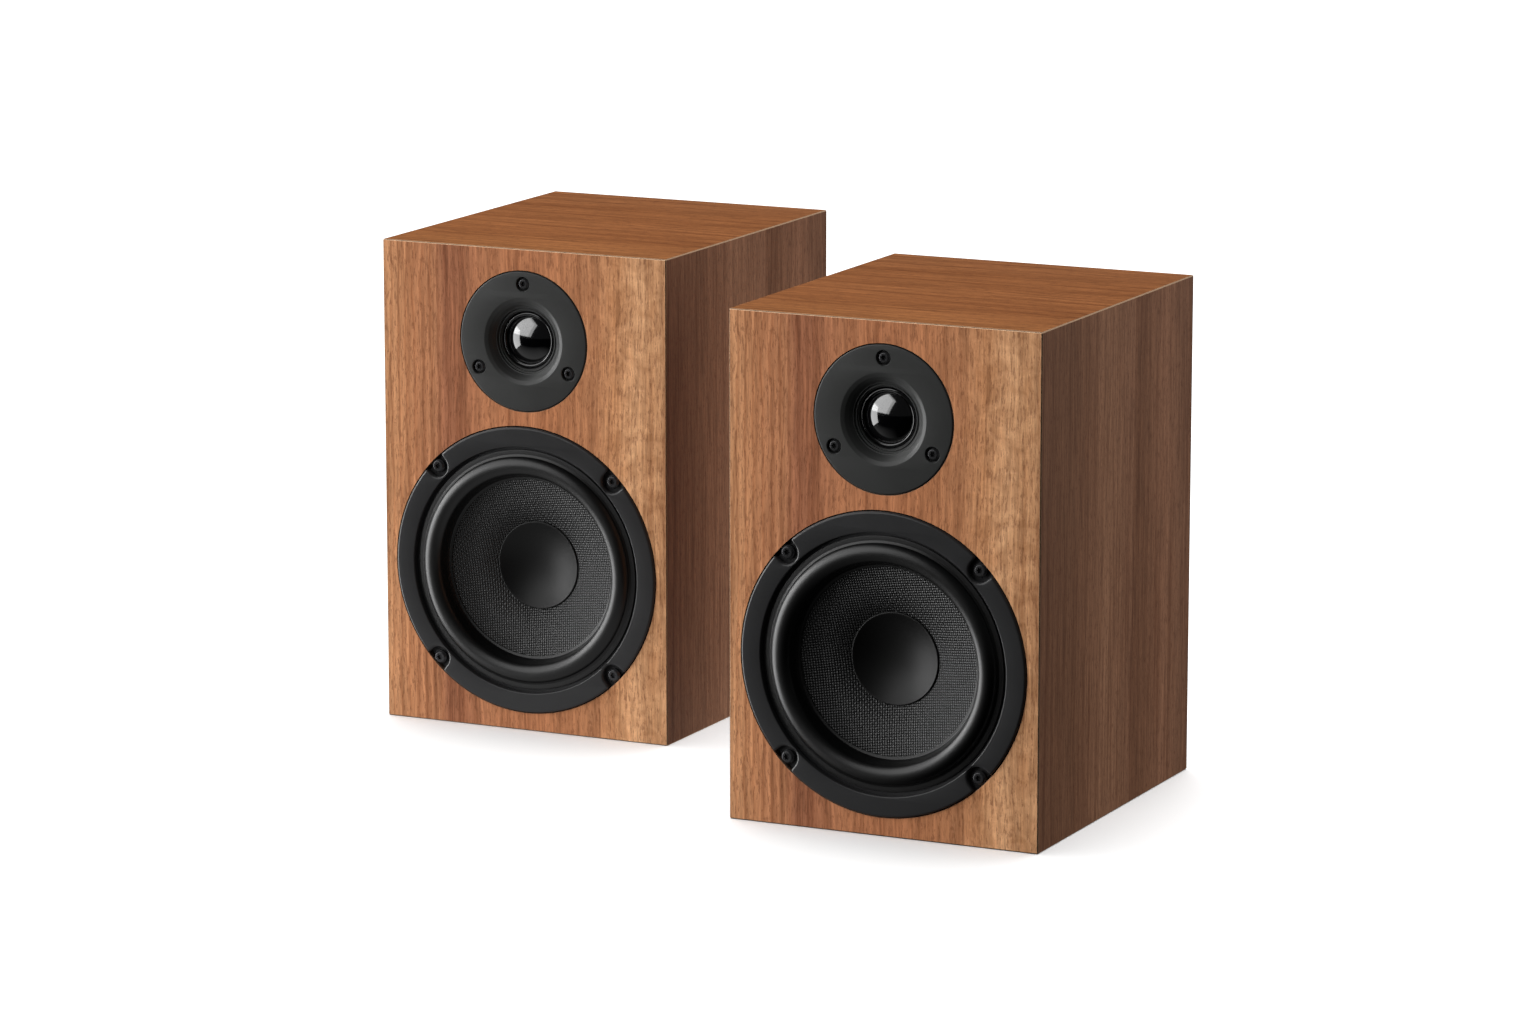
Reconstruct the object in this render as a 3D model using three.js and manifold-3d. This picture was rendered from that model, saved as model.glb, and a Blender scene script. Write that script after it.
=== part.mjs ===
// A pair of identical two-way bookshelf loudspeakers in veneered cabinets: dome tweeter and woofer in
// front, reflex port and screw terminals behind. Millimetres, +Z up, fronts facing -Y.
// The origin is at the bottom centre of the pair's bounding box. Inside each speaker the frame has its
// origin on the cabinet's centreline, at the front face and the base, with +Y running into the cabinet.
// Drivers, port and terminals are turned about +Y, so their profiles are lists of [radius, y].

import * as THREE from "three";
import { mergeVertices } from "three/addons/utils/BufferGeometryUtils.js";
import Module from "manifold-3d";

const wasm = await Module();
wasm.setup();

// ---- driving dimensions ----

const WIDTH = 162;
const HEIGHT = 250;
const DEPTH = 190;
const WALL = 12;
const GAP = 0.3; // clearance between pieces that touch
const RIGHT_OFFSET = { x: 256, y: -121 }; // the right speaker's place, measured from the left one's
const PROUD = 0.6; // how far the port and the terminal plate stand out of the back

const REBATE = 5; // depth of the recess that each driver's flange sits in
const REAR_LIP = 8; // wall thickness left behind the rebate that holds the rear panel

const WOOFER_Z = 84;
const TWEETER_Z = 202.5;
const PORT_Z = 194;
const TERMINAL_Z = 72;

const WOOFER_RADIUS = 74.4;
const WOOFER_HOLE = 63;
const TRIM_INNER = 64;
const TRIM_PROUD = 1;
const FLANGE_FRONT = 2.3;
const SCREW_CIRCLE = 71; // woofer screws, on the diagonals
const SCREW_HOLE = 2.1;
const NOTCH = 5.6;
const ROLL_RADIUS = 54; // crest of the surround's half roll
const ROLL_CENTRE = 1.6; // depth of the half roll's centre
const ROLL_HEIGHT = 4.2;
const CONE_OUTER = 46.6;
const CONE_FRONT = 7;
const CAP_RADIUS = 22;
const CAP_CURVE = 46.9; // radius of the concave dust cap
const CAP_FRONT = 14.3;
const FORMER_INNER = 18.2;
const FORMER_OUTER = 19;
const POT_BACK = 33.7;
const MAGNET_RADIUS = 38;

const TWEETER_RADIUS = 36;
const TWEETER_HOLE = 27;
const TWEETER_SCREW_CIRCLE = 29.5;
const TWEETER_SCREW_HOLE = 1.9;
const DOME_RADIUS = 12.5;
const DOME_CURVE = 19.6;
const DOME_BASE = 6.6;
const MOTOR_RADIUS = 25.5;

const PORT_BORE = 17.5;
const PORT_FLANGE = 32;
const PORT_LENGTH = 78;
const PORT_SKIN = 1.9;
const PORT_CUTOUT = 26.5; // hole in the rear panel behind the port's flange
const PLATE_RECESS = 2.2; // depth of the recesses in the rear panel

const CUP_HALF = { x: 42, z: 36 };
const CUP_NECK_HALF = { x: 34, z: 28 }; // outside of the cup, where it passes the panel
const CUP_CORNER = 8;
const CUP_FLOOR = 20; // depth of the recess, from the back of the cabinet
const STUD_SPACING = 30;
const STUD_RADIUS = 2.3;
const KNOB_RADIUS = 7;

const FINE = 24; // facets round the large circles of the front
const COARSE = 16; // facets round inner pieces
const SMALL = 6; // facets round screws
const KNOB_FACETS = 10; // facets round the terminals
const ARMS = 6; // arms of the woofer basket

// ---- solids ----

function signedArea(profile) {
  return profile.reduce((sum, [r, y], i) => {
    const [nextR, nextY] = profile[(i + 1) % profile.length];
    return sum + (r * nextY - nextR * y) / 2;
  }, 0);
}

// A profile turned about +Y. It starts and ends on the axis, or is closed on itself here.
function turned(profile, facets) {
  const points = profile.map(([r, y]) => new THREE.Vector2(r, y));
  if (signedArea(profile) < 0) points.reverse();
  const onAxis = profile[0][0] === 0 && profile.at(-1)[0] === 0;
  if (!onAxis) points.push(points[0].clone());
  return new THREE.LatheGeometry(points, facets);
}

// A bar along +Y.
function bar(radius, y0, y1, facets, x = 0, z = 0) {
  const profile = [[0, y0], [radius, y0], [radius, y1], [0, y1]];
  return turned(profile, facets).translate(x, 0, z);
}

// The tool that cuts a round hole: its flats, not its corners, are at the radius.
function drill(radius, y0, y1, facets, x = 0, z = 0) {
  return bar(radius / Math.cos(Math.PI / facets), y0, y1, facets, x, z);
}

function block(x0, x1, y0, y1, z0, z1) {
  const box = new THREE.BoxGeometry(x1 - x0, y1 - y0, z1 - z0);
  return box.translate((x0 + x1) / 2, (y0 + y1) / 2, (z0 + z1) / 2);
}

// A skin over loops of points with equal counts. It is closed by flat ends, or by joining the last loop
// to the first one.
function skinned(loops, flatEnds) {
  const count = loops[0].length;
  const rows = flatEnds ? loops : [...loops, loops[0]];
  const triangles = [];
  for (let row = 0; row + 1 < rows.length; row += 1) {
    for (let i = 0; i < count; i += 1) {
      const j = (i + 1) % count;
      const [a, b] = [rows[row][i], rows[row][j]];
      const [c, d] = [rows[row + 1][j], rows[row + 1][i]];
      triangles.push(a, b, c, a, c, d);
    }
  }
  if (flatEnds) {
    const [first, last] = [loops[0], loops.at(-1)];
    for (let i = 1; i + 1 < count; i += 1) {
      triangles.push(first[0], first[i + 1], first[i]);
      triangles.push(last[0], last[i], last[i + 1]);
    }
  }
  const geometry = new THREE.BufferGeometry();
  geometry.setAttribute("position", new THREE.Float32BufferAttribute(triangles.flat(), 3));
  return geometry;
}

// The cabinet's outline at depth y, moved in by inset.
function outline(inset, y) {
  const x = WIDTH / 2 - inset;
  const top = HEIGHT - inset;
  return [[-x, y, inset], [-x, y, top], [x, y, top], [x, y, inset]];
}

// A rectangle with round corners, centred on the axis, with four points to a corner.
function roundedLoop(halfX, halfZ, corner, y) {
  const sides = [[-1, -1], [-1, 1], [1, 1], [1, -1]];
  return sides.flatMap(([sideX, sideZ], index) =>
    [0, 1, 2, 3].map((step) => {
      const angle = Math.PI / 2 * (3 - index - step / 3);
      const x = sideX * (halfX - corner) + corner * Math.cos(angle);
      const z = sideZ * (halfZ - corner) + corner * Math.sin(angle);
      return [x, y, z];
    }),
  );
}

function toSolid(geometry) {
  const bare = geometry.clone();
  bare.deleteAttribute("normal");
  bare.deleteAttribute("uv");
  const merged = mergeVertices(bare, 1e-3);
  const vertProperties = merged.getAttribute("position").array;
  const triVerts = Uint32Array.from(merged.index.array);
  return new wasm.Manifold(new wasm.Mesh({ numProp: 3, vertProperties, triVerts }));
}

function toGeometry(solid) {
  const mesh = solid.getMesh();
  const geometry = new THREE.BufferGeometry();
  geometry.setAttribute("position", new THREE.BufferAttribute(mesh.vertProperties, 3));
  geometry.setIndex(new THREE.BufferAttribute(mesh.triVerts, 1));
  return geometry;
}

function cut(body, tools) {
  return toGeometry(tools.reduce((solid, tool) => solid.subtract(toSolid(tool)), toSolid(body)));
}

function join(parts) {
  return toGeometry(parts.map(toSolid).reduce((whole, part) => whole.add(part)));
}

// Places on a circle about the axis, in the XZ plane, as [x, z].
function placesOnCircle(radius, degrees) {
  return degrees.map((angle) => {
    const radians = THREE.MathUtils.degToRad(angle);
    return [radius * Math.cos(radians), radius * Math.sin(radians)];
  });
}

const WOOFER_SCREWS = placesOnCircle(SCREW_CIRCLE, [135, 45, 225, 315]);
const TWEETER_SCREWS = placesOnCircle(TWEETER_SCREW_CIRCLE, [90, 210, 330]);

// ---- cabinet ----

const REAR_STEP = DEPTH - WALL - 2 * GAP; // front edge of the rebate that holds the rear panel

const MITRE = GAP * 0.7; // each side's share of the gap in the mitre, measured square to the faces

function cabinetWrap() {
  const section = [
    [0, MITRE],
    [0, DEPTH],
    [REAR_LIP, DEPTH],
    [REAR_LIP, REAR_STEP],
    [WALL, REAR_STEP],
    [WALL, WALL + MITRE],
  ];
  return skinned(section.map(([inset, y]) => outline(inset, y)), false);
}

// A full-face panel whose edges are mitred to the wrap.
function frontBaffle() {
  const panel = skinned([outline(MITRE, 0), outline(WALL, WALL - MITRE)], true);
  const pilotEnd = WALL - 1.5;
  const tools = [
    drill(WOOFER_RADIUS + GAP, -1, REBATE, FINE, 0, WOOFER_Z),
    drill(WOOFER_HOLE, 0, WALL + 1, FINE, 0, WOOFER_Z),
    drill(TWEETER_RADIUS + GAP, -1, REBATE, FINE, 0, TWEETER_Z),
    drill(TWEETER_HOLE, 0, WALL + 1, COARSE, 0, TWEETER_Z),
    ...WOOFER_SCREWS.map(([x, z]) => drill(SCREW_HOLE, 0, pilotEnd, SMALL, x, WOOFER_Z + z)),
    ...TWEETER_SCREWS.map(([x, z]) => drill(TWEETER_SCREW_HOLE, 0, pilotEnd, SMALL, x, TWEETER_Z + z)),
  ];
  return cut(panel, tools);
}

const PANEL_FRONT = REAR_STEP + GAP;
const PANEL_BACK = DEPTH - GAP;
const REAR_REBATE = PANEL_BACK - PLATE_RECESS;
const FLANGE_BACK = DEPTH + PROUD;

function rearPanel() {
  const inset = REAR_LIP + GAP;
  const panel = skinned([outline(inset, PANEL_FRONT), outline(inset, PANEL_BACK)], true);
  const around = (half, clearance, y0, y1) =>
    skinned([y0, y1].map((y) =>
      roundedLoop(half.x + clearance, half.z + clearance, CUP_CORNER + clearance, y)), true,
    ).translate(0, 0, TERMINAL_Z);
  return cut(panel, [
    drill(PORT_FLANGE + GAP, REAR_REBATE, DEPTH + 1, COARSE, 0, PORT_Z),
    drill(PORT_CUTOUT, PANEL_FRONT - 1, DEPTH, COARSE, 0, PORT_Z),
    around(CUP_HALF, GAP, REAR_REBATE, DEPTH + 1),
    around(CUP_NECK_HALF, 2 * GAP, PANEL_FRONT - 1, DEPTH),
  ]);
}

// A flared tube with a flange let into the rear panel.
function reflexPort() {
  const innerEnd = DEPTH - PORT_LENGTH;
  return turned([
    [28, FLANGE_BACK],
    [23, DEPTH - 3.5],
    [19.5, DEPTH - 10],
    [PORT_BORE, DEPTH - 20],
    [PORT_BORE, innerEnd],
    [PORT_BORE + PORT_SKIN, innerEnd],
    [PORT_BORE + PORT_SKIN, DEPTH - 20],
    [19.5 + PORT_SKIN, DEPTH - 10],
    [26, REAR_REBATE + GAP],
    [PORT_FLANGE, REAR_REBATE + GAP],
    [PORT_FLANGE, FLANGE_BACK],
  ], COARSE);
}

// ---- woofer ----

// A flange, six arms and a pot that carries the motor.
function wooferBasket() {
  const body = turned([
    [58, FLANGE_FRONT],
    [WOOFER_RADIUS, FLANGE_FRONT],
    [WOOFER_RADIUS, REBATE - GAP],
    [62, REBATE - GAP],
    [60, 12.5],
    [47, 25],
    [44, POT_BACK],
    [21.5, POT_BACK],
    [21.5, 31.2],
    [40, 31.2],
    [40, 26.9],
    [43.5, 26.9],
    [43.5, 24],
    [56, 12],
  ], 3 * ARMS);
  const windows = Array.from({ length: ARMS }, (_, index) =>
    block(44, 66, 8.5, 22.5, -17, 17).rotateY(index * 2 * Math.PI / ARMS));
  const holes = WOOFER_SCREWS.map(([x, z]) => drill(SCREW_HOLE, 0, 6, SMALL, x, z));
  return cut(body, [...windows, ...holes]);
}

// The dress ring over the flange, with an open notch at each screw.
function wooferTrimRing() {
  const ring = turned([
    [TRIM_INNER, -TRIM_PROUD],
    [WOOFER_RADIUS - 0.8, -TRIM_PROUD],
    [WOOFER_RADIUS, -TRIM_PROUD + 0.8],
    [WOOFER_RADIUS, FLANGE_FRONT - GAP],
    [TRIM_INNER, FLANGE_FRONT - GAP],
  ], FINE);
  return cut(ring, WOOFER_SCREWS.map(([x, z]) => drill(NOTCH, -5, 5, 12, x, z)));
}

// A half roll between an outer flange and a skirt that runs down to the cone.
function wooferSurround() {
  const skin = 0.8;
  const flange = FLANGE_FRONT - GAP - skin;
  const arc = (radius, height) => [145, 90, 35].map((degrees) => {
    const angle = THREE.MathUtils.degToRad(degrees);
    return [ROLL_RADIUS - radius * Math.cos(angle), ROLL_CENTRE - height * Math.sin(angle)];
  });
  const front = [
    [62.4, flange],
    [59.4, flange],
    ...arc(5, ROLL_HEIGHT),
    [47.2, CONE_FRONT - 0.6],
  ];
  const back = [
    [47.2, CONE_FRONT + 0.8],
    ...arc(5 - skin, ROLL_HEIGHT - skin).reverse(),
    [58.9, flange + skin],
    [62.4, flange + skin],
  ];
  return turned([...front, ...back], FINE);
}

function wooferCone() {
  return turned([
    [CONE_OUTER, CONE_FRONT],
    [22.6, 14.8],
    [19.6, 18.2],
    [19.6, 19.4],
    [23, 15.9],
    [CONE_OUTER, CONE_FRONT + 1],
  ], FINE);
}

// Depth of a round bowl or dome below its rim, at radius r.
function sag(curve, rim, r) {
  return Math.sqrt(curve ** 2 - r ** 2) - Math.sqrt(curve ** 2 - rim ** 2);
}

function wooferDustCap() {
  const skin = 0.6;
  const radii = [1, 0.7, 0.35, 0].map((part) => part * CAP_RADIUS);
  const front = radii.map((r) => [r, CAP_FRONT + sag(CAP_CURVE, CAP_RADIUS, r)]);
  const back = front.map(([r, y]) => [r, y + skin]).reverse();
  return turned([...back, ...front], COARSE);
}

function wooferVoiceCoil() {
  const winding = FORMER_OUTER + 0.9;
  return turned([
    [FORMER_INNER, 17.3],
    [FORMER_OUTER, 17.3],
    [FORMER_OUTER, 32.5],
    [winding, 32.5],
    [winding, 40.5],
    [FORMER_INNER, 40.5],
  ], COARSE);
}

// A corrugated disc from the former to the landing in the basket.
function wooferSpider() {
  const skin = 0.6;
  const waves = [[19.6, 0], [25.5, -1.2], [31, 1.2], [36.5, -1.2], [42.2, 0.3]];
  const back = waves.map(([r, y]) => [r, 26 + y]);
  const front = back.map(([r, y]) => [r, y - skin]).reverse();
  return turned([...back, ...front], COARSE);
}

function wooferTopPlate() {
  const front = POT_BACK + GAP;
  return turned([[20.6, front], [36, front], [36, front + 5], [20.6, front + 5]], COARSE);
}

const MAGNET_FRONT = POT_BACK + 5 + 2 * GAP;
const MAGNET_BACK = MAGNET_FRONT + 14;

function wooferMagnet() {
  return turned([
    [24, MAGNET_FRONT],
    [MAGNET_RADIUS, MAGNET_FRONT],
    [MAGNET_RADIUS, MAGNET_BACK],
    [24, MAGNET_BACK],
  ], COARSE);
}

// The back plate with its pole piece, vented through the middle.
function wooferYoke() {
  const plate = MAGNET_BACK + GAP;
  return turned([
    [5, POT_BACK],
    [17.3, POT_BACK],
    [17.3, plate],
    [MAGNET_RADIUS - 1, plate],
    [MAGNET_RADIUS - 1, plate + 5],
    [5, plate + 5],
  ], COARSE);
}

// A socket screw with its head from top to seat and its shank to the tip.
function screw(headRadius, top, seat, shankRadius, tip) {
  return turned([
    [0, top + 0.9],
    [1.3, top + 0.9],
    [1.3, top],
    [headRadius, top],
    [headRadius, seat],
    [shankRadius, seat],
    [shankRadius, tip],
    [0, tip],
  ], SMALL);
}

// ---- tweeter ----

function tweeterFaceplate() {
  const back = REBATE - GAP;
  const plate = turned([
    [TWEETER_RADIUS, -0.3],
    [22.3, -0.3],
    [20.5, 0.4],
    [18.9, 1.8],
    [17.5, 3.6],
    [16.9, 3.6],
    [16.6, 4.8],
    [15, 5],
    [15, DOME_BASE],
    [24, DOME_BASE],
    [24, back],
    [TWEETER_RADIUS, back],
  ], FINE);
  const heads = TWEETER_SCREWS.map(([x, z]) => drill(3.7, -1, 1.9, 10, x, z));
  const holes = TWEETER_SCREWS.map(([x, z]) => drill(TWEETER_SCREW_HOLE, 0, 6, SMALL, x, z));
  return cut(plate, [...heads, ...holes]);
}

// A thin dome with its suspension roll and the former of its coil.
function tweeterDome() {
  const skin = 0.5;
  const former = DOME_RADIUS + 0.3;
  const radii = [0, 0.35, 0.7, 1].map((part) => part * DOME_RADIUS);
  const front = radii.map((r) => [r, DOME_BASE - sag(DOME_CURVE, DOME_RADIUS, r)]);
  const back = front.slice(0, 3).map(([r, y]) => [r, y + skin]).reverse();
  return turned([
    ...front,
    [13.5, DOME_BASE - 0.7],
    [14.4, DOME_BASE - 0.1],
    [14.4, DOME_BASE + 0.4],
    [former, DOME_BASE + 0.4],
    [former, 11.5],
    [former - skin, 11.5],
    [former - skin, DOME_BASE + 0.4],
    ...back,
  ], COARSE);
}

// The magnet in its can, with the annular gap that the coil moves in.
function tweeterMotor() {
  const front = DOME_BASE + 0.4;
  const recess = front + 1.4;
  return turned([
    [0, recess],
    [11.6, recess],
    [11.6, 13],
    [13.6, 13],
    [13.6, recess],
    [15.4, recess],
    [15.4, front],
    [MOTOR_RADIUS, front],
    [MOTOR_RADIUS, 24],
    [MOTOR_RADIUS - 3, 27],
    [0, 27],
  ], COARSE);
}

// ---- terminals ----

const STUDS = [STUD_SPACING / 2, -STUD_SPACING / 2];
const FLOOR = DEPTH - CUP_FLOOR;
const COLLAR_BACK = FLOOR + 3;
const WASHER_BACK = COLLAR_BACK + GAP + 1.5;
const KNOB_BACK = WASHER_BACK + GAP + 11;

// A recessed plate with a collar and a threaded stud for each terminal.
function terminalCup() {
  const { x, z } = CUP_NECK_HALF;
  const flangeFront = REAR_REBATE + GAP;
  const cup = skinned([
    roundedLoop(x - 4, z - 4, CUP_CORNER - 2, FLOOR - 2),
    roundedLoop(x, z, CUP_CORNER, flangeFront),
    roundedLoop(CUP_HALF.x, CUP_HALF.z, CUP_CORNER, flangeFront),
    roundedLoop(CUP_HALF.x, CUP_HALF.z, CUP_CORNER, FLANGE_BACK),
    roundedLoop(x - 2, z - 2, CUP_CORNER - 2, FLANGE_BACK),
    roundedLoop(x - 6, z - 6, CUP_CORNER - 3, FLOOR),
  ], true);
  const collars = STUDS.map((studX) => bar(6.5, FLOOR - 1, COLLAR_BACK, KNOB_FACETS, studX));
  const studs = STUDS.map((studX) => bar(STUD_RADIUS, FLOOR - 1, KNOB_BACK, SMALL, studX));
  return join([cup, ...collars, ...studs]);
}

function collarRing(front, back, outer) {
  const bore = STUD_RADIUS + 2 * GAP;
  return turned([[bore, front], [outer, front], [outer, back], [bore, back]], KNOB_FACETS);
}

// ---- crossover ----

// A board on four feet with its coil and two capacitors.
function crossoverBoard() {
  const [x, y0, y1, z] = [40, 85, 155, 16];
  const board = block(-x, x, y0, y1, z, z + 1.6);
  const feet = [[-x + 6, y0 + 6], [x - 6, y0 + 6], [-x + 6, y1 - 6], [x - 6, y1 - 6]].map(
    ([footX, footY]) => block(footX - 3, footX + 3, footY - 3, footY + 3, WALL + GAP, z + 0.5));
  const coil = new THREE.CylinderGeometry(14, 14, 16, 12).rotateX(Math.PI / 2).translate(-20, 120, z + 9);
  const capacitors = [8, 27].map((capX) => bar(7, 100, 132, 8, capX, z + 8));
  return join([board, ...feet, coil, ...capacitors]);
}

// ---- materials ----

function finish(color, roughness, metalness = 0) {
  return new THREE.MeshStandardMaterial({ color, roughness, metalness });
}

const walnut = finish(0xa87850, 0.5);
const satinBlack = finish(0x2c2d2e, 0.5);
const platePlastic = finish(0x454747, 0.45);
const rubber = finish(0x262626, 0.6);
const weave = finish(0x3c3c3c, 0.55);
const capPaper = finish(0x4b4b4b, 0.7);
const spiderCloth = finish(0xb07a3c, 0.9);
const coilMetal = finish(0xa8643c, 0.35, 0.9);
const ferrite = finish(0x33353a, 0.6, 0.2);
const platedSteel = finish(0xb0b2b4, 0.35, 1);
const castAluminium = finish(0x3a3b3d, 0.5, 0.8);
const screwSteel = finish(0x1f1f20, 0.35, 1);
const domeGloss = finish(0x0c0c0d, 0.12);
const redPlastic = finish(0xb02020, 0.35);
const blackPlastic = finish(0x181818, 0.35);
const boardResin = finish(0x3f6b3a, 0.6);

// ---- assembly ----

function addPiece(parent, name, geometry, material) {
  const mesh = new THREE.Mesh(geometry, material);
  mesh.name = name;
  parent.add(mesh);
  return mesh;
}

function addGroup(parent, x, y, z) {
  const child = new THREE.Group();
  child.position.set(x, y, z);
  parent.add(child);
  return child;
}

function addScrews(parent, name, places, geometry) {
  places.forEach(([x, z], index) => {
    const mesh = addPiece(parent, `${name}_${index + 1}`, geometry, screwSteel);
    mesh.position.set(x, 0, z);
  });
}

function addWoofer(parent, side) {
  addPiece(parent, `${side}_woofer_basket`, wooferBasket(), castAluminium);
  addPiece(parent, `${side}_woofer_trim_ring`, wooferTrimRing(), satinBlack);
  addPiece(parent, `${side}_woofer_surround`, wooferSurround(), rubber);
  addPiece(parent, `${side}_woofer_cone`, wooferCone(), weave);
  addPiece(parent, `${side}_woofer_dust_cap`, wooferDustCap(), capPaper);
  addPiece(parent, `${side}_woofer_spider`, wooferSpider(), spiderCloth);
  addPiece(parent, `${side}_woofer_voice_coil`, wooferVoiceCoil(), coilMetal);
  addPiece(parent, `${side}_woofer_top_plate`, wooferTopPlate(), platedSteel);
  addPiece(parent, `${side}_woofer_magnet`, wooferMagnet(), ferrite);
  addPiece(parent, `${side}_woofer_yoke`, wooferYoke(), platedSteel);
  addScrews(parent, `${side}_woofer_screw`, WOOFER_SCREWS, screw(3.5, -0.2, 2, 1.7, 10.2));
}

function addTweeter(parent, side) {
  addPiece(parent, `${side}_tweeter_faceplate`, tweeterFaceplate(), platePlastic);
  addPiece(parent, `${side}_tweeter_dome`, tweeterDome(), domeGloss);
  addPiece(parent, `${side}_tweeter_motor`, tweeterMotor(), ferrite);
  addScrews(parent, `${side}_tweeter_screw`, TWEETER_SCREWS, screw(3.1, 0, 1.6, 1.5, 10.2));
}

function addTerminals(parent, side) {
  addPiece(parent, `${side}_terminal_cup`, terminalCup(), blackPlastic);
  const washer = collarRing(COLLAR_BACK + GAP, WASHER_BACK, KNOB_RADIUS);
  const knob = collarRing(WASHER_BACK + GAP, KNOB_BACK, KNOB_RADIUS);
  [["red", redPlastic], ["black", blackPlastic]].forEach(([colour, material], index) => {
    addPiece(parent, `${side}_${colour}_washer`, washer, platedSteel).position.x = STUDS[index];
    addPiece(parent, `${side}_${colour}_cap`, knob, material).position.x = STUDS[index];
  });
}

function addSpeaker(parent, side, x, y) {
  const speaker = addGroup(parent, x, y, 0);
  addPiece(speaker, `${side}_cabinet_wrap`, cabinetWrap(), walnut);
  addPiece(speaker, `${side}_front_baffle`, frontBaffle(), walnut);
  addPiece(speaker, `${side}_rear_panel`, rearPanel(), walnut);
  addPiece(speaker, `${side}_crossover_board`, crossoverBoard(), boardResin);
  addWoofer(addGroup(speaker, 0, 0, WOOFER_Z), side);
  addTweeter(addGroup(speaker, 0, 0, TWEETER_Z), side);
  addPiece(addGroup(speaker, 0, 0, PORT_Z), `${side}_reflex_port`, reflexPort(), satinBlack);
  addTerminals(addGroup(speaker, 0, 0, TERMINAL_Z), side);
}

const group = new THREE.Group();
addSpeaker(group, "left", 0, 0);
addSpeaker(group, "right", RIGHT_OFFSET.x, RIGHT_OFFSET.y);

const centre = new THREE.Box3().setFromObject(group).getCenter(new THREE.Vector3());
group.position.set(-centre.x, -centre.y, 0);

export default group;
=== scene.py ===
"""A pair of two-way bookshelf speakers: the visible surfaces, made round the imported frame.

Each speaker is made in a frame of its own, in millimetres: x from the cabinet's centreline, y from the
front face into the cabinet, z up from the base. Drivers, port and terminals are turned about y.
"""
import math

import bmesh
import bpy
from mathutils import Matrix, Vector
from mathutils.geometry import tessellate_polygon
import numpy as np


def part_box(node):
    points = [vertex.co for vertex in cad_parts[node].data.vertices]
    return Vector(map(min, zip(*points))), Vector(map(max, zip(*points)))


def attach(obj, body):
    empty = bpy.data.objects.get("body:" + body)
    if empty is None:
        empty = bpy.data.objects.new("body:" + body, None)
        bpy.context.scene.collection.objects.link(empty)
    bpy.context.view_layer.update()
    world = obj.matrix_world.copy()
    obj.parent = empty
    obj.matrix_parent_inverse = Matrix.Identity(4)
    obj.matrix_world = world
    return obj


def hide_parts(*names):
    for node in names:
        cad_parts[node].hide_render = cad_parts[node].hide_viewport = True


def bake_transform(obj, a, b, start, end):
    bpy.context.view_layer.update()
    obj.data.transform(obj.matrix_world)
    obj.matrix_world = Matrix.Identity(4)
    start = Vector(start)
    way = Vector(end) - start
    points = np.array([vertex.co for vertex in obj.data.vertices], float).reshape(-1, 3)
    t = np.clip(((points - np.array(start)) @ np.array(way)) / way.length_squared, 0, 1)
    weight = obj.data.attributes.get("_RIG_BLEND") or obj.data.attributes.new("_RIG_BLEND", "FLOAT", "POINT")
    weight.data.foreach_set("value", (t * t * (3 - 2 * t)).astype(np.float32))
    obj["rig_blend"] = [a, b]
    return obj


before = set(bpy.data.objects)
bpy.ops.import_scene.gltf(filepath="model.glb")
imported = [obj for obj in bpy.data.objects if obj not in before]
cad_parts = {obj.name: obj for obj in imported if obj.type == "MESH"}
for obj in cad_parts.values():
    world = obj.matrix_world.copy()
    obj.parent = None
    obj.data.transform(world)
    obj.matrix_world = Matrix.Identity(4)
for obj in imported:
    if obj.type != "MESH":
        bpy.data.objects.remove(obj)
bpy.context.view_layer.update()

MM = 0.001

SIDES = ("left", "right")

# ---- sizes, in millimetres ----

HALF_WIDTH = 81
HEIGHT = 250
DEPTH = 190
WALL = 12
EDGE = 0.55  # chamfer that catches the light along every edge of the cabinet
MITRE_GAP = 0.3  # joint between the baffle and the wrap, in the middle of that chamfer
BAFFLE_EDGE = 0.17  # the baffle's share of the chamfer
BAFFLE_BACK = WALL - 0.21  # the joint's other end, at the back of the baffle
FIT = 0.3  # play round whatever is let into a board
HOLE_LIP = 0.2  # chamfer at the mouth of the baffle's holes
REBATE = 5  # how deep the drivers are let into the baffle
REAR_LIP = 8
REAR_FRONT = 177.7
REAR_BACK = 189.7
REAR_BEVEL = 0.4
REAR_REBATE = 2.2  # how deep the port and the terminal cup are let into the rear panel

WOOFER_Z = 84
TWEETER_Z = 202.5
PORT_Z = 194
TERMINAL_Z = 72
STUD_X = 15

TRIM_OUTER = 74.4
TRIM_INNER = 64
TRIM_FRONT = -1
TRIM_BACK = 2
WOOFER_LEDGE = 11.7  # width of board under the flange
SCREW_CIRCLE = 71
SCREW_ANGLES = (135, 45, 225, 315)
NOTCH = 5.6
NOTCH_FLARE = 0.35  # how much wider a notch is at its mouth, to each side
ROLL_RADIUS = 54
ROLL_CENTRE = 1.6
ROLL_WIDTH = 5
ROLL_HEIGHT = 4.2
ROLL_ARC = (12, 168)  # degrees of the roll between its flange and its neck
ROLL_FLANGE = 62.4
ROLL_LIP = 46.1
CONE_OUTER = 46.6
CONE_INNER = 19.6
CONE_FRONT = 7
CONE_BACK = 18.2
CONE_SKIN = 0.9
CAP_RADIUS = 22
CAP_CURVE = 46.9
CAP_FRONT = 14.3
CAP_SKIN = 0.6
SPIDER_INNER = 19.6
SPIDER_OUTER = 42.2
SPIDER_Y = 25.6
SPIDER_WAVE = 1.2
SPIDER_SKIN = 0.5

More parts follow.
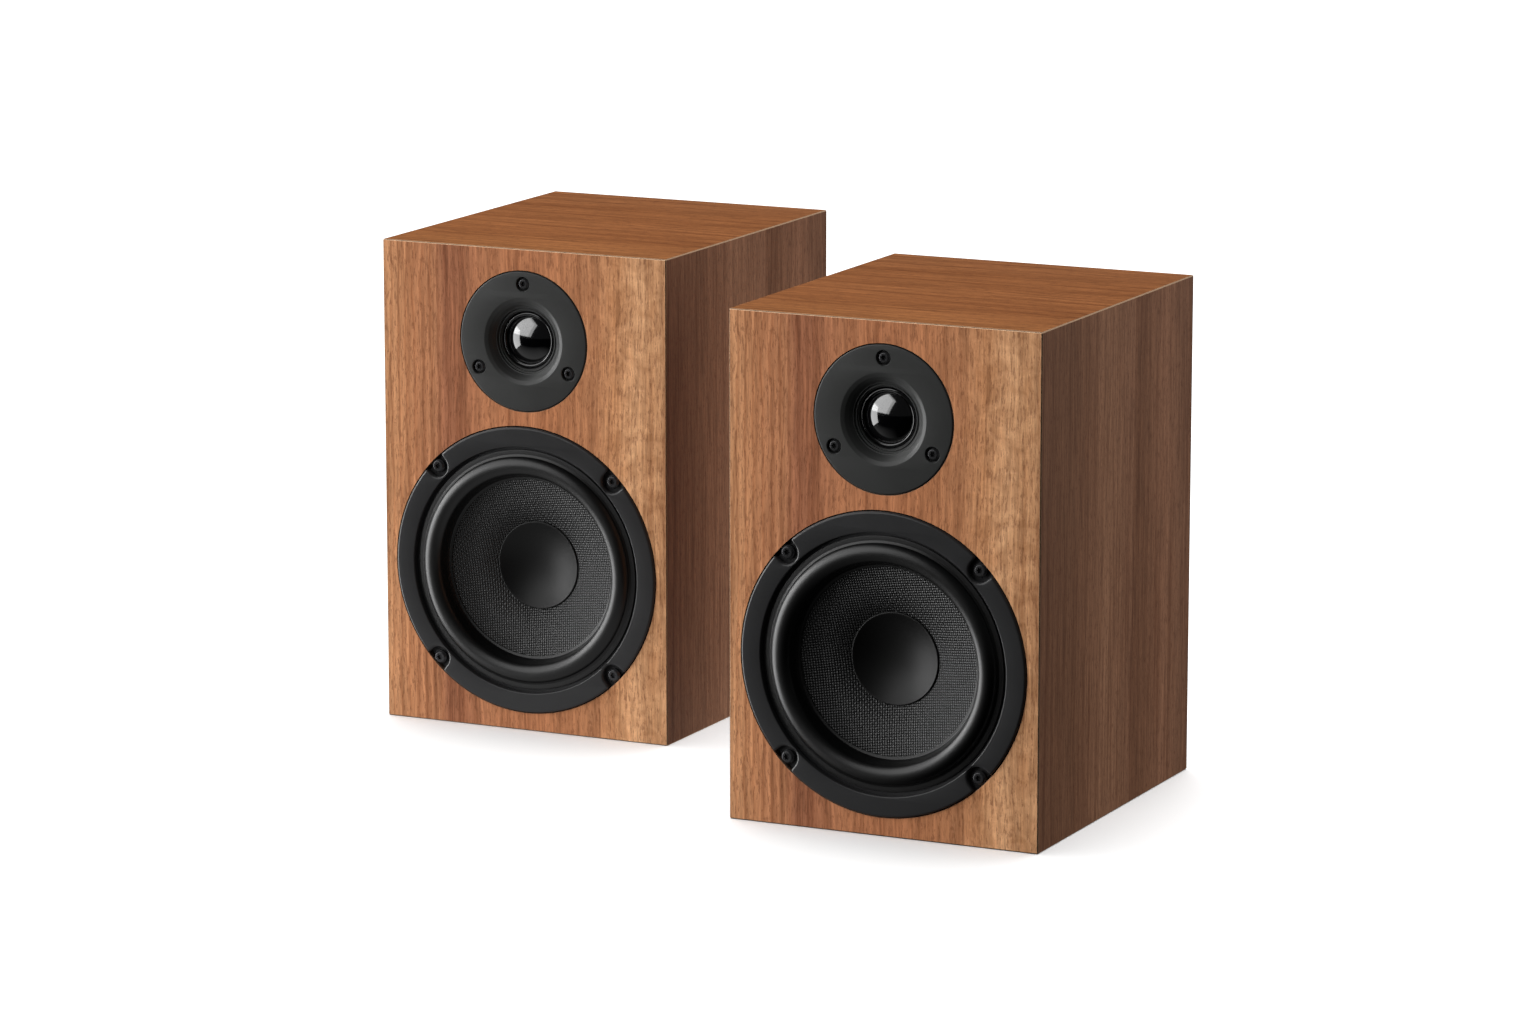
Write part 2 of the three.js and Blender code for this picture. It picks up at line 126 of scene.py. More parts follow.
PLATE_RADIUS = 36
PLATE_FRONT = -0.3
PLATE_BACK = 4.7
TWEETER_LEDGE = 9.3
TWEETER_SCREW_CIRCLE = 29.5
TWEETER_SCREW_ANGLES = (90, 210, 330)
TWEETER_POCKET = 3.7
HORN_MOUTH = 22.3
DOME_RADIUS = 12.5
DOME_CURVE = 19.6
DOME_BASE = 6.6
DOME_ROLL = 14.4
DOME_ROLL_FRONT = 6.2
DOME_ROLL_HEIGHT = 0.9
FORMER_END = 11.5

PROUD_BACK = 190.6  # outer face of the port and the terminal cup
FLANGE_SEAT = 187.8
PORT_BORE = 17.5
PORT_TUBE = 19.4
PORT_FLANGE = 32
PORT_LEDGE = 5.8
CUP_HALF = (42, 36)
CUP_OPENING = (32, 26)
CUP_CORNER = 8
CUP_LEDGE = 7.9
CUP_FLOOR = 170
CUP_SCREW_INSET = 5.5
COLLAR_RADIUS = 6.5
COLLAR_END = 173
STUD_RADIUS = 2.3
STUD_END = 186.4
WASHER_SPAN = (173.3, 174.8)
KNOB_RADIUS = 7
KNOB_SPAN = (175.1, 186.1)

ROUND = 144  # facets round the drivers
SMALL_ROUND = 48  # facets round screws and terminals

NEAR = 0.1  # a face whose centre is no further than this from a plane lies in it
SQUARE = 0.98  # least share of a normal along an axis, for a face that is square to it


# ---- shells: lists of points and faces ----

def evenly(start, end, steps):
    return [start + (end - start) * step / steps for step in range(steps + 1)]


def full_turn(count):
    return evenly(0, math.tau, count)[:-1]


def fillets(corners, steps=4, closed=False):
    """Points of an outline whose corners (u, v, radius) are rounded. For a lathe u and v are radius and y,
    and for the edge of a plate grow and y."""
    most = 0.49  # of a side, so that the roundings at its two ends never meet
    points = []
    last = len(corners) - 1
    for i, (u, v, radius) in enumerate(corners):
        corner = Vector((u, v))
        if radius == 0 or (not closed and i in (0, last)):
            points.append(corner)
            continue
        before = Vector(corners[i - 1][:2]) - corner
        after = Vector(corners[(i + 1) % len(corners)][:2]) - corner
        half = before.angle(after) / 2
        reach = min(radius / math.tan(half), most * before.length, most * after.length)
        towards = (before.normalized() + after.normalized()).normalized()
        centre = corner + towards * reach / math.cos(half)
        start = corner + before.normalized() * reach - centre
        end = corner + after.normalized() * reach - centre
        for share in evenly(0, 1, steps):
            points.append(centre + start.slerp(end, share).normalized() * start.length)
    return [tuple(point) for point in points]


def joined(*shells):
    """Several shells as one."""
    points = []
    faces = []
    for more_points, more_faces in shells:
        start = len(points)
        points += more_points
        faces += [tuple(start + i for i in face) for face in more_faces]
    return points, faces


def moved(shell, x=0, y=0, z=0):
    points, faces = shell
    return [(px + x, py + y, pz + z) for px, py, pz in points], faces


def facing_back(shell):
    """The same shell with its front at the back."""
    points, faces = shell
    return [(x, -y, z) for x, y, z in points], faces


def skinned(rings, closed=False):
    """Quads between rings of points with equal counts. A closed skin joins the last ring to the first."""
    count = len(rings[0])
    points = [point for ring in rings for point in ring]
    faces = []
    for row in range(len(rings) if closed else len(rings) - 1):
        near = row * count
        far = (row + 1) % len(rings) * count
        for i in range(count):
            j = (i + 1) % count
            faces.append((near + i, near + j, far + j, far + i))
    return points, faces


def lathe(profile, facets=ROUND):
    """A profile of (radius, y) turned about y. It starts and ends on the axis, or is closed here."""
    points = []
    rings = []
    for radius, y in profile:
        turns = full_turn(facets) if radius > 0 else [0]
        rings.append([len(points) + i for i in range(len(turns))])
        points += [(radius * math.cos(turn), y, radius * math.sin(turn)) for turn in turns]
    pairs = list(zip(rings, rings[1:]))
    if len(rings[0]) > 1:
        pairs.append((rings[-1], rings[0]))
    faces = []
    for near, far in pairs:
        for i in range(facets):
            j = (i + 1) % facets
            corners = (near[i % len(near)], near[j % len(near)], far[j % len(far)], far[i % len(far)])
            faces.append(tuple(dict.fromkeys(corners)))
    return points, [face for face in faces if len(face) > 2]


def circle(radius, facets=ROUND, x=0, z=0):
    """An outline as a function: it gives the loop of (x, z) points, grown by so much."""
    def shape(grow):
        reach = radius + grow
        return [(x + reach * math.cos(turn), z + reach * math.sin(turn)) for turn in full_turn(facets)]
    return shape


def rectangle(half_x, low, high, corner=0.0):
    """An outline of that half width between two heights, with rounded corners if it is given any."""
    def shape(grow):
        x = half_x + grow
        bottom = low - grow
        top = high + grow
        least = 0.4
        radius = max(corner + grow, least) if corner else 0
        corners = [(x, bottom, radius), (x, top, radius), (-x, top, radius), (-x, bottom, radius)]
        return fillets(corners, steps=8, closed=True)
    return shape


def outline(points):
    """Any anticlockwise loop, grown along its own normals."""
    vectors = [Vector(point) for point in points]

    def shape(grow):
        grown = []
        for i, point in enumerate(vectors):
            before = (point - vectors[i - 1]).normalized()
            after = (vectors[(i + 1) % len(vectors)] - point).normalized()
            normals = Vector((before.y + after.y, -before.x - after.x))
            grown.append(tuple(point + normals * grow / (1 + before.dot(after))))
        return grown
    return shape


def waved(count, reach):
    """An outline of so many points, as far from the axis as reach(turn) says."""
    return outline([(reach(turn) * math.cos(turn), reach(turn) * math.sin(turn))
                    for turn in full_turn(count)])


def plate(*edges):
    """A solid between two flat faces, bounded by edges. Each edge is (outline, rows, floor): rows of
    (grow, y) lead from one flat face to the other, and with a floor they end in one of their own."""
    points = []
    faces = []
    ends = [[], []]

    def cap(loops):
        flat = [[Vector((points[i][0], points[i][2], 0)) for i in loop] for loop in loops]
        indices = [i for loop in loops for i in loop]
        faces.extend(tuple(indices[i] for i in face) for face in tessellate_polygon(flat))

    for shape, rows, floor in edges:
        rings = []
        for grow, y in rows:
            loop = [(x, y, z) for x, z in shape(grow)]
            rings.append(list(range(len(points), len(points) + len(loop))))
            points += loop
        for near, far in zip(rings, rings[1:]):
            faces += [(near[i - 1], near[i], far[i], far[i - 1]) for i in range(len(near))]
        ends[0].append(rings[0])
        if floor:
            cap([rings[-1]])
        else:
            ends[1].append(rings[-1])
    for loops in ends:
        cap(loops)
    return points, faces


def stepped(shape, mouth, seat, ledge, end):
    """The edge of a hole that goes from its mouth to a seat, in along a ledge and on to its end."""
    return shape, [*mouth, (0, seat), (-ledge, seat), (-ledge, end)], False


def around(angles, distance):
    """Places (x, z) on a circle, at angles in degrees from +x towards +z."""
    return [(distance * math.cos(math.radians(a)), distance * math.sin(math.radians(a))) for a in angles]


# ---- materials ----

def srgb(red, green, blue):
    """Linear colour of an 8-bit sRGB one."""
    linear = [((v / 255 + 0.055) / 1.055) ** 2.4 if v > 10 else v / 255 / 12.92 for v in (red, green, blue)]
    return (*linear, 1)


class Surface:
    """A material under construction, with short calls for its nodes."""

    def __init__(self, name, **constants):
        self.material = bpy.data.materials.new(name)
        self.material.use_nodes = True
        self.tree = self.material.node_tree
        self.shader = self.tree.nodes["Principled BSDF"]
        for socket, value in constants.items():
            self.shader.inputs[socket.replace("_", " ")].default_value = value
        self.place = self.node("TexCoord").outputs["Object"]
        self.x, self.y, self.z = (
            self.times(out, 1 / MM) for out in self.node("SeparateXYZ", [self.place]).outputs)

    def node(self, kind, inputs=(), **settings):
        made = self.tree.nodes.new("ShaderNode" + kind)
        for key, value in settings.items():
            setattr(made, key, value)
        pairs = inputs.items() if isinstance(inputs, dict) else enumerate(inputs)
        for key, value in pairs:
            if isinstance(value, bpy.types.NodeSocket):
                self.tree.links.new(value, made.inputs[key])
            elif value is not None:
                made.inputs[key].default_value = value
        return made

    def math(self, operation, a, b=None, c=None, clamp=False):
        return self.node("Math", (a, b, c), operation=operation, use_clamp=clamp).outputs[0]

    def times(self, a, b):
        return self.math("MULTIPLY", a, b)

    def vector(self, x, y, z):
        return self.node("CombineXYZ", (x, y, z)).outputs[0]

    def noise(self, vector, scale, detail=2.0, roughness=0.5, distortion=0.0):
        inputs = {"Vector": vector, "Scale": scale, "Detail": detail, "Roughness": roughness,
                  "Distortion": distortion}
        return self.node("TexNoise", inputs).outputs["Fac"]

    def ramp(self, factor, stops, interpolation="LINEAR"):
        made = self.node("ValToRGB", [factor])
        made.color_ramp.interpolation = interpolation
        elements = made.color_ramp.elements
        while len(elements) < len(stops):
            elements.new(1)
        for element, (position, value) in zip(elements, stops):
            element.position = position
            element.color = value if isinstance(value, tuple) else (value, value, value, 1)
        return made.outputs[0]

    def mix(self, factor, a, b, blend="MIX"):
        made = self.node("Mix", {0: factor, 6: a, 7: b}, data_type="RGBA", blend_type=blend)
        return made.outputs[2]

    def spread(self, factor, low, high):
        """A factor of 0 to 1 spread over low to high."""
        return self.math("MULTIPLY_ADD", factor, high - low, low)

    def link(self, socket, value):
        self.tree.links.new(value, self.shader.inputs[socket])

    def bump(self, height, distance, strength=1.0):
        inputs = {"Height": height, "Distance": distance * MM, "Strength": strength}
        self.link("Normal", self.node("Bump", inputs).outputs[0])


def darker(colour, share):
    return (*(share * part for part in colour[:3]), 1)


def walnut(name, along, across, tones, waviness, seed, bands=None, mottle=None):
    """Lacquered walnut veneer. along and across name the axes that the grain runs on and over, tones are
    (place over the grain in mm, colour), and waviness is how far the grain sways, in mm. bands and mottle
    are the places over the grain, as (from, to) in mm, between which growth bands fade out and a mottled
    figure fades in."""
    wood = Surface(name, Coat_Weight=0.03, Coat_Roughness=0.35, Specular_IOR_Level=0.14)
    axes = {"x": wood.x, "y": wood.y, "z": wood.z}
    straight, length = axes[across], axes[along]

    def grain(place, fine, long, layer, detail, roughness=0.6, distortion=0.0):
        """Noise with so many features a millimetre over and along the grain."""
        x = wood.times(place, fine)
        z = wood.times(length, long)
        return wood.noise(wood.vector(x, seed + layer, z), 1, detail, roughness, distortion)

    def fade(start, end):
        return wood.math("DIVIDE", wood.math("SUBTRACT", over, start), end - start, clamp=True)

    def tinted(colour, factor, stops):
        """The colour times what a ramp makes of the factor."""
        return wood.mix(1.0, colour, wood.ramp(factor, stops), "MULTIPLY")

    slow = grain(straight, fine=0.018, long=0.012, layer=0, detail=2)
    sway = wood.times(wood.math("SUBTRACT", slow, 0.5), waviness)
    over = wood.math("ADD", straight, sway)
    low, high = tones[0][0], tones[-1][0]
    colour = wood.ramp(fade(low, high), [((place - low) / (high - low), tone) for place, tone in tones])

    streaks = grain(over, fine=0.26, long=0.007, layer=3, detail=5, roughness=0.7, distortion=0.2)
    colour = tinted(colour, streaks, [
        (0.34, (0.7, 0.64, 0.6, 1)), (0.5, 1.0), (0.66, (1.2, 1.22, 1.24, 1))])
    if bands:
        band_width = 4.6
        band_sway = 1.5
        drift = grain(straight, fine=0.05, long=0.024, layer=21, detail=3)
        sweep = wood.math("MULTIPLY_ADD", drift, band_sway, wood.math("DIVIDE", straight, band_width))
        banded = tinted(colour, wood.math("FRACT", sweep), [
            (0, (0.78, 0.72, 0.68, 1)), (0.3, 1.0),
            (0.82, (1.12, 1.15, 1.17, 1)), (1, (0.8, 0.75, 0.72, 1))])
        colour = wood.mix(fade(*bands), banded, colour)
    if mottle:
        blotches = grain(over, fine=0.1, long=0.11, layer=17, detail=4, distortion=0.8)
        mottled = tinted(colour, blotches, [
            (0.36, (0.84, 0.8, 0.76, 1)), (0.52, 1.0), (0.66, (1.16, 1.2, 1.22, 1))])
        colour = wood.mix(fade(*mottle), colour, mottled)

    fibre = grain(over, fine=0.7, long=0.035, layer=7, detail=6, roughness=0.85)
    colour = tinted(colour, fibre, [(0.36, 0.7), (0.5, 1.0), (0.64, 1.26)])
    pores = wood.ramp(grain(over, fine=1.1, long=0.2, layer=11, detail=3, roughness=0.75),
                      [(0.38, 1), (0.46, 0)])
    pore_colour = srgb(104, 60, 38)
    pore_share = 0.5
    pore_depth = 0.6
    colour = wood.mix(wood.times(pores, pore_share), colour, pore_colour)

    wood.link("Base Color", colour)
    wood.link("Roughness", wood.spread(fibre, 0.6, 0.44))
    wood.bump(wood.math("SUBTRACT", fibre, wood.times(pores, pore_depth)), distance=0.09,
              strength=0.5)
    return wood.material


def moulded(name, colour, roughness, grain=0.9, depth=0.03, **constants):
    """Moulded plastic, rubber or paint with faint clouds in colour and gloss. It has a grain of so many
    features a millimetre and of that depth in mm."""
    skin = Surface(name, **constants)
    clouds = skin.noise(skin.place, scale=40, detail=3)
    fine = skin.noise(skin.place, scale=grain / MM)
    swing = 0.05
    skin.link("Base Color", skin.mix(clouds, darker(colour, 0.82), colour))
    skin.link("Roughness", skin.spread(clouds, roughness - swing, roughness + swing))
    skin.bump(fine, depth, strength=0.6)
    return skin.material


def woven(name, colour, pitch, roughness, turn=0.0):
    """A plain weave in the x-z plane: each thread crests where it passes over its neighbour. The pitch
    is in mm. The gaps between the threads are dull, and painted near black as the shade that falls in them."""
    cloth = Surface(name, Specular_IOR_Level=1.0)
    cos, sin = math.cos(turn), math.sin(turn)
    main, cross = 0.65, 0.35  # shares of a thread's own crest and its neighbour's in its height

    def threads(x_share, z_share):
        x = cloth.times(cloth.x, x_share)
        z = cloth.times(cloth.z, z_share)
        return cloth.math("DIVIDE", cloth.math("ADD", x, z), pitch)

    def crest(place):
        return cloth.math("ABSOLUTE", cloth.math("SINE", cloth.times(place, math.pi)))

    first, second = threads(cos, sin), threads(-sin, cos)
    first_crest, second_crest = crest(first), crest(second)
    cell = cloth.math("ADD", cloth.math("FLOOR", first), cloth.math("FLOOR", second))
    over = cloth.math("FLOORED_MODULO", cell, 2)
    under = cloth.math("SUBTRACT", 1, over)
    warp = cloth.math("MULTIPLY_ADD", second_crest, cross, cloth.times(first_crest, main))
    weft = cloth.math("MULTIPLY_ADD", first_crest, cross, cloth.times(second_crest, main))
    height = cloth.math("ADD", cloth.times(over, warp), cloth.times(under, weft))
    lift = cloth.times(cloth.times(first_crest, second_crest), height)
    # painted shade: the colour falls to near black in the gaps between the threads
    cloth.link("Base Color", cloth.mix(lift, darker(colour, 0.05), colour))
    cloth.link("Roughness", cloth.spread(lift, roughness + 0.15, roughness))
    cloth.bump(height, distance=0.4)
    return cloth.material


def metal(name, colour, roughness):
    """Plated or drawn metal with fine marks round the y axis."""
    skin = Surface(name, Metallic=1.0)
    stretch = 0.2  # marks a millimetre along their length
    fine = 4  # and across it
    swing = 0.08
    place = skin.vector(skin.times(skin.x, stretch), skin.times(skin.y, fine),
                        skin.times(skin.z, stretch))
    marks = skin.noise(place, scale=1, detail=4)
    skin.link("Base Color", skin.mix(marks, darker(colour, 0.7), colour))
    skin.link("Roughness", skin.spread(marks, roughness - swing, roughness + swing))
    skin.bump(marks, distance=0.02, strength=0.4)
    return skin.material


def fibreboard(name, colour):
    """The sawn core of the boards, seen in joints and openings. Made pale on the chamfers, it is also a
    painted highlight along the edges.
    """
    core = Surface(name)
    chips = core.noise(core.place, scale=900, detail=4, roughness=0.7)
    core.link("Base Color", core.mix(chips, darker(colour, 0.55), colour))
    core.link("Roughness", core.spread(chips, 0.95, 0.8))
    core.bump(chips, distance=0.1)
    return core.material


# Tones of the veneer: (place over the grain in mm, colour). The top's are also darkened with painted shade.
FRONT_TONES = [
    (-81, srgb(190, 136, 96)), (-70, srgb(184, 127, 88)), (-60, srgb(174, 117, 81)),
    (-52, srgb(177, 120, 84)), (-46, srgb(150, 96, 68)), (-38, srgb(154, 99, 70)),
    (-20, srgb(176, 117, 81)), (0, srgb(174, 114, 78)), (24, srgb(173, 115, 78)),
    (40, srgb(180, 124, 86)), (52, srgb(188, 134, 93)), (64, srgb(200, 150, 109)),
    (72, srgb(186, 136, 96)), (81, srgb(182, 135, 97)),
]
SIDE_TONES = [
    (0, srgb(142, 98, 72)), (36, srgb(146, 102, 75)), (59, srgb(162, 114, 85)), (83, srgb(180, 130, 99)),
    (114, srgb(170, 121, 92)), (115, srgb(147, 101, 74)), (130, srgb(154, 107, 79)),
    (154, srgb(178, 126, 96)), (178, srgb(160, 114, 87)), (190, srgb(156, 109, 83)),
]
# the top: partly the veneer's own tone, partly painted shade that makes it darker and deeper in colour than
# the front
TOP_TONES_WITH_PAINTED_SHADE = [
    (0, srgb(171, 111, 66)), (50, srgb(158, 99, 58)), (95, srgb(164, 104, 62)),
    (140, srgb(156, 98, 58)), (190, srgb(161, 104, 65)),
]
BACK_TONES = [
    (-81, srgb(150, 103, 74)), (-30, srgb(168, 117, 84)), (20, srgb(154, 105, 75)),
    (81, srgb(162, 113, 82)),
]

MATERIALS = {
    "front": walnut("walnut_front", along="z", across="x", tones=FRONT_TONES, waviness=7, seed=1.3,
                    bands=(-52, -30), mottle=(24, 52)),
    "side": walnut("walnut_side", along="z", across="y", tones=SIDE_TONES, waviness=3, seed=5.1),
    "top": walnut("walnut_top", along="x", across="y", tones=TOP_TONES_WITH_PAINTED_SHADE, waviness=8, seed=9.7),
    "back": walnut("walnut_back", along="z", across="x", tones=BACK_TONES, waviness=12, seed=14.9),
    # the chamfers' pale colour: partly the cut edge of the veneer, partly a painted highlight along the
    # edges
    "edge": fibreboard("veneer_edge_and_painted_highlight", srgb(226, 186, 150)),
    "core": fibreboard("board_core", srgb(96, 72, 54)),
    "trim": moulded("trim_plastic", srgb(68, 68, 69), 0.24),
    "faceplate": moulded("faceplate_plastic", srgb(74, 75, 74), 0.36, grain=1.4, depth=0.02),
    "rubber": moulded("surround_rubber", srgb(9, 9, 9), 0.36, grain=0.7, depth=0.02,
                      Specular_IOR_Level=0.9),
    "cone": woven("cone_weave", srgb(48, 48, 49), pitch=1.25, roughness=0.32, turn=math.radians(8)),
    "cap": moulded("dust_cap_coat", srgb(5, 5, 5), 0.44, grain=1.8, depth=0.015),
    "spider": woven("spider_cloth", srgb(190, 150, 88), pitch=0.8, roughness=0.8),
    "copper": metal("enamelled_copper", srgb(196, 116, 72), 0.35),
    "ferrite": moulded("ground_ferrite", srgb(58, 58, 62), 0.55, grain=0.5, depth=0.05),
    "steel": metal("plated_steel", srgb(196, 196, 192), 0.3),
    "basket": moulded("powder_coat", srgb(40, 40, 42), 0.55, grain=0.6, depth=0.08),
    "screw": moulded("black_oxide", srgb(100, 100, 102), 0.24, grain=0.8, depth=0.02, Metallic=0.7),
    "dome": moulded("gloss_film", srgb(5, 5, 6), 0.09, grain=0.2, depth=0.004, Coat_Weight=1.0,
                    Specular_IOR_Level=0.9),
    "red": moulded("terminal_red", srgb(176, 22, 22), 0.25, grain=0.5, depth=0.01),
    "black": moulded("terminal_black", srgb(22, 22, 23), 0.3, grain=0.6, depth=0.02),
    "board": moulded("board_resin", srgb(36, 88, 44), 0.35, grain=0.6, depth=0.03),
}


# ---- placing pieces ----

def origin_of(side):
    """The origin of a speaker's own frame, in metres."""
    wrap_low, wrap_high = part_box(side + "_cabinet_wrap")
    baffle_low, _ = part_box(side + "_front_baffle")
    return Vector(((wrap_low.x + wrap_high.x) / 2, baffle_low.y, wrap_low.z))


def mesh_of(name, shell, materials, paint=None, crease=35):
    """A mesh in metres from a shell in millimetres. paint(normal, centre) names the material of a face,
    and the crease is the angle in degrees from which an edge is sharp."""
    points, faces = shell
    build = bmesh.new()
    vertices = [build.verts.new(Vector(point) * MM) for point in points]
    for face in faces:
        build.faces.new([vertices[i] for i in face])
    bmesh.ops.recalc_face_normals(build, faces=build.faces)
    for face in build.faces:
        face.smooth = True
        if paint:
            face.material_index = materials.index(paint(face.normal, face.calc_center_median() / MM))
    made = bpy.data.meshes.new(name)
    build.to_mesh(made)
    build.free()
    made.set_sharp_from_angle(angle=math.radians(crease))
    for key in materials:
        made.materials.append(MATERIALS[key])
    return made


class Speaker:
    """One of the two speakers: it makes pieces and puts them on its bodies."""

    def __init__(self, side):
        self.side = side
        self.origin = origin_of(side)

    def name(self, label):
        return f"{self.side}_{label}"

    def piece(self, label, shell, materials, nodes, slot, body="cabinet", paint=None, crease=35):
        mesh = mesh_of(self.name(label), shell, materials, paint, crease)
        made = bpy.data.objects.new(self.name(label), mesh)
        bpy.context.scene.collection.objects.link(made)
        made.location = self.origin
        if body:
            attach(made, self.name(body))
        if nodes:
            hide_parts(*(self.name(node) for node in nodes))
        return made

    def finish(self, node, material):
        """Gives a node that keeps its own shape its material."""
        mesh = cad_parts[self.name(node)].data
        mesh.materials.clear()
        mesh.materials.append(MATERIALS[material])

    def blend_outwards(self, made, moving, inner, outer, height):
        """Lets a ring about the driver's axis at that height bend between the cabinet, from the outer
        radius on, and the moving body, up to the inner radius."""
        axis_x = self.origin.x
        axis_z = self.origin.z + height * MM
        start = (axis_x + outer * MM, self.origin.y, axis_z)
        end = (axis_x + inner * MM, self.origin.y, axis_z)
        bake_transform(made, self.name("cabinet"), self.name(moving), start, end)
        for vertex, weight in zip(made.data.vertices, made.data.attributes["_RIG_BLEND"].data):
            radius = math.hypot(vertex.co.x - axis_x, vertex.co.z - axis_z) / MM
            part = min(max((outer - radius) / (outer - inner), 0), 1)
            weight.value = part * part * (3 - 2 * part)


# ---- cabinet ----

def cabinet_wrap(speaker):
    """Top, bottom and sides: one section, swept round the cabinet's outline with its edges chamfered."""
    def loop(inset):
        x = HALF_WIDTH - inset
        low = inset
        high = HEIGHT - inset
        corners = []
        for sx, z, turn in ((1, low, 1), (1, high, -1), (-1, high, 1), (-1, low, -1)):
            upright = (sx * x, z + EDGE * (1 if z == low else -1))
            level = (sx * (x - EDGE), z)
            corners += [level, upright] if turn > 0 else [upright, level]
        return corners

    joint = (EDGE - MITRE_GAP / 2) / 2
    shoulder = REAR_FRONT - FIT
    rows = [
        (joint, EDGE - joint), (0, EDGE), (0, DEPTH - EDGE), (EDGE, DEPTH), (REAR_LIP, DEPTH),
        (REAR_LIP, shoulder), (WALL, shoulder), (WALL, WALL + MITRE_GAP / 2),
    ]
    rings = [[(x, y, z) for x, z in loop(inset)] for inset, y in rows]

    def paint(normal, centre):
        if abs(normal.y) > SQUARE and centre.y > DEPTH - NEAR:
            return "core"
        if max(abs(part) for part in normal) < SQUARE:
            # chamfers take the pale edge colour, which is partly a painted highlight along them
            return "edge" if centre.y < EDGE or centre.y > WALL else "core"
        if abs(centre.x) < HALF_WIDTH - NEAR and NEAR < centre.z < HEIGHT - NEAR:
            return "core"
        return "side" if abs(normal.x) > SQUARE else "top"

    speaker.piece("wrap_shell", skinned(rings, closed=True), ("side", "top", "edge", "core"),
                  ["cabinet_wrap"], "walnut", paint=paint, crease=20)


def front_baffle(speaker):
    """The full face, with a stepped hole for each driver."""
    front = rectangle(HALF_WIDTH - EDGE, EDGE, HEIGHT - EDGE)
    woofer = circle(TRIM_OUTER + FIT, z=WOOFER_Z)
    tweeter = circle(PLATE_RADIUS + FIT, z=TWEETER_Z)
    mouth = [(HOLE_LIP, 0), (0, HOLE_LIP)]
    shell = plate(
        (front, [(0, 0), (BAFFLE_EDGE, BAFFLE_EDGE), (EDGE - WALL, BAFFLE_BACK)], False),
        stepped(woofer, mouth, REBATE, WOOFER_LEDGE, BAFFLE_BACK),
        stepped(tweeter, mouth, REBATE, TWEETER_LEDGE, BAFFLE_BACK),
    )

    def paint(normal, centre):
        flush = 0.01
        rim = 1
        if centre.y < flush:
            return "front"
        at_rim = abs(centre.x) > HALF_WIDTH - rim or not rim < centre.z < HEIGHT - rim
        # the baffle's chamfer takes the pale edge colour, which is partly a painted highlight along it
        return "edge" if at_rim and centre.y < BAFFLE_EDGE else "core"

    speaker.piece("baffle_board", shell, ("front", "edge", "core"), ["front_baffle"], "walnut",
                  paint=paint, crease=20)


def rear_panel(speaker):
    inset = REAR_LIP + FIT
    seat = REAR_BACK - REAR_REBATE
    cup_x, cup_z = CUP_HALF[0] + FIT, CUP_HALF[1] + FIT
    sheet = rectangle(HALF_WIDTH - inset, inset, HEIGHT - inset)
    port = circle(PORT_FLANGE + FIT, z=PORT_Z)
    cup = rectangle(cup_x, TERMINAL_Z - cup_z, TERMINAL_Z + cup_z, CUP_CORNER + FIT)
    mouth = [(0, REAR_BACK)]
    shell = plate(
        (sheet, [(-REAR_BEVEL, REAR_BACK), (0, REAR_BACK - REAR_BEVEL), (0, REAR_FRONT)], False),
        stepped(port, mouth, seat, PORT_LEDGE, REAR_FRONT),
        stepped(cup, mouth, seat, CUP_LEDGE, REAR_FRONT),
    )

    def paint(normal, centre):
        return "back" if centre.y > REAR_BACK - REAR_BEVEL else "core"

    speaker.piece("rear_board", shell, ("back", "core"), ["rear_panel"], "walnut", paint=paint, crease=20)


def reflex_port(speaker):
    """A tube with a flange and a flare at the back and a rounded end inside."""
    end = 112
    # the flange, the flare, the bore, the rounded end and the tube's outside
    profile = fillets([
        (PORT_FLANGE, FLANGE_SEAT, 0), (PORT_FLANGE, PROUD_BACK, 0.9),
        (28, PROUD_BACK, 2.5), (22.4, 186, 9), (19.2, 179, 12), (PORT_BORE, 168, 12),
        (PORT_BORE, end + 4, 5), (20.2, end, 0.6), (21.6, end + 0.8, 0.6), (PORT_TUBE, end + 6, 3),
        (PORT_TUBE, 168, 12), (21.4, 180, 10), (25.6, FLANGE_SEAT, 0.5),
    ], steps=7, closed=True)
    speaker.piece("port_tube", moved(lathe(profile), z=PORT_Z), ("trim",), ["reflex_port"],
                  "trim_plastic")


# ---- woofer ----

def notched_outline():
    """The trim ring's outer edge, bitten by a notch round each screw."""
    points = []
    wall = NOTCH + NOTCH_FLARE
    soft = 1.1
    rim_steps = 30
    notch_steps = 16
    rim = math.sqrt(TRIM_OUTER ** 2 - wall ** 2)
    reach = math.degrees(math.asin((wall + soft) / TRIM_OUTER))
    for angle in sorted(SCREW_ANGLES):
        outward = Vector(around([angle], 1)[0])
        sideways = Vector((-outward.y, outward.x))

        def flank(sign):
            corner = outward * rim + sideways * wall * sign
            arc_end = outward * SCREW_CIRCLE + sideways * NOTCH * sign
            down = corner + (arc_end - corner).normalized() * soft
            start = Vector(around([angle + reach * sign], TRIM_OUTER)[0])
            middle = corner * 0.5 + (start + down) * 0.25
            return [start, middle, down]

        points += flank(-1)
        for swing in evenly(-math.pi / 2, -3 * math.pi / 2, notch_steps):
            points.append(outward * (SCREW_CIRCLE + NOTCH * math.cos(swing))
                          + sideways * NOTCH * math.sin(swing))
        points += list(reversed(flank(1)))
        next_notch = angle + 360 / len(SCREW_ANGLES)
        points += around(evenly(angle + reach, next_notch - reach, rim_steps)[1:-1], TRIM_OUTER)
    return outline(points)


